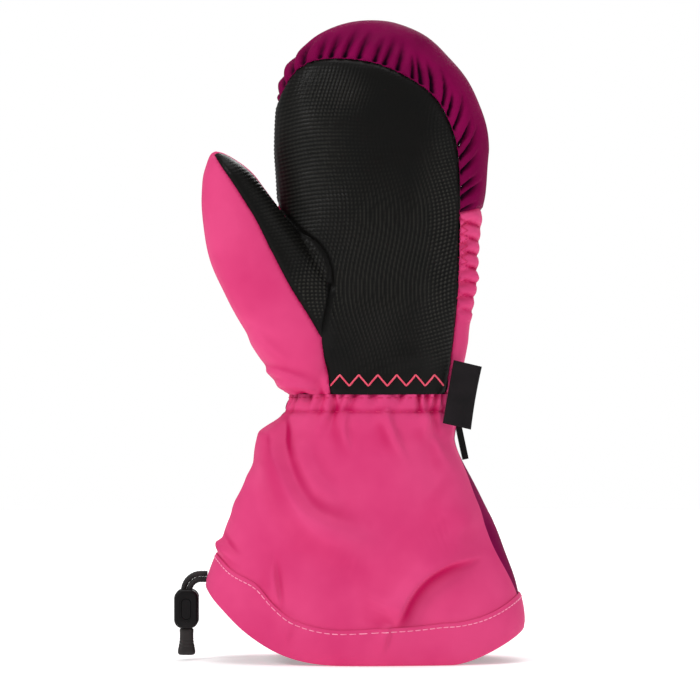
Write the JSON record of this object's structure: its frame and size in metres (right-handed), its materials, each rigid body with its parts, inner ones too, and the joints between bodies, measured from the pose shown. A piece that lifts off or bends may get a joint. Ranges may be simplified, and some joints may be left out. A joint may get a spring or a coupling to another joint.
{
  "type": "ski mitten",
  "caption": "Padded left-hand ski mitten with an embossed grip palm, gathered wrist, flared gauntlet cuff, hem drawcord with cord lock, side label and clip hook.",
  "frame": {"origin": "on the floor under the middle of the cuff's mouth, at the bottom centre of the mitten's box without its free cord tail", "axes": "+Z to the fingertips, palm facing -Y, thumb on the -X side"},
  "size_m": [0.1583, 0.076, 0.289],
  "materials": {
    "grip": "embossed synthetic leather",
    "pink_cloth": "coated woven shell cloth",
    "berry_cloth": "coated woven shell cloth with a slight sheen",
    "wadding": "fibre wadding",
    "membrane": "waterproof film insert",
    "fleece": "brushed fleece",
    "elastic": "woven elastic",
    "cord": "braided elastic cord",
    "black_plastic": "moulded",
    "soft_plastic": "soft moulded",
    "spring_steel": "plain",
    "label_tape": "woven satin tape, bare",
    "webbing": "woven webbing",
    "coral_thread": "sewing thread",
    "pink_thread": "sewing thread"
  },
  "bodies": {
    "mitten": {"palm_panel": "grip", "thumb_palm_panel": "grip", "thumb_back_panel": "pink_cloth", "fingertip_panel": "berry_cloth", "back_panel": "pink_cloth", "cuff_palm_panel": "pink_cloth", "cuff_back_panel": "berry_cloth", "hem_band": "pink_cloth", "hand_padding": "wadding", "thumb_padding": "wadding", "waterproof_insert": "membrane", "hand_lining": "fleece", "thumb_lining": "fleece", "cuff_lining": "fleece", "wrist_elastic": "elastic", "hem_drawcord": "cord", "side_label": "label_tape", "hook_tab": "webbing", "palm_zigzag_stitching": "coral_thread", "hem_topstitching": "pink_thread", "wrist_stitching": "pink_thread", "side_stitching": "pink_thread"},
    "drawcord_tail": {"drawcord_outer_strand": "cord", "drawcord_inner_strand": "cord", "cord_end": "soft_plastic"},
    "cord_lock": {"cord_lock_barrel": "black_plastic", "cord_lock_cap": "black_plastic", "cord_lock_spring": "spring_steel"},
    "lock_button": {"cord_lock_button": "black_plastic"},
    "hook": {"pair_hook": "black_plastic"}
  },
  "joints": [
    {"name": "tail_swing", "type": "hinge", "parent": "mitten", "child": "drawcord_tail", "pos_m": [-0.07108, 0, 0.0376], "axis": [0, 1, 0], "range_deg": [-20, 40]},
    {"name": "lock_slide", "type": "slide", "parent": "drawcord_tail", "child": "cord_lock", "axis": [0, 0, 1], "range_m": [0, 0.002]},
    {"name": "button_press", "type": "slide", "parent": "cord_lock", "child": "lock_button", "axis": [0, 1, 0], "range_m": [0, 0.0018], "stiffness_N_per_m": 800, "springref_m": -0.001},
    {"name": "hook_swing", "type": "hinge", "parent": "mitten", "child": "hook", "pos_m": [0.04228, 0.01375, 0.11], "axis": [0, 1, 0], "range_deg": [-100, 0]}
  ]
}
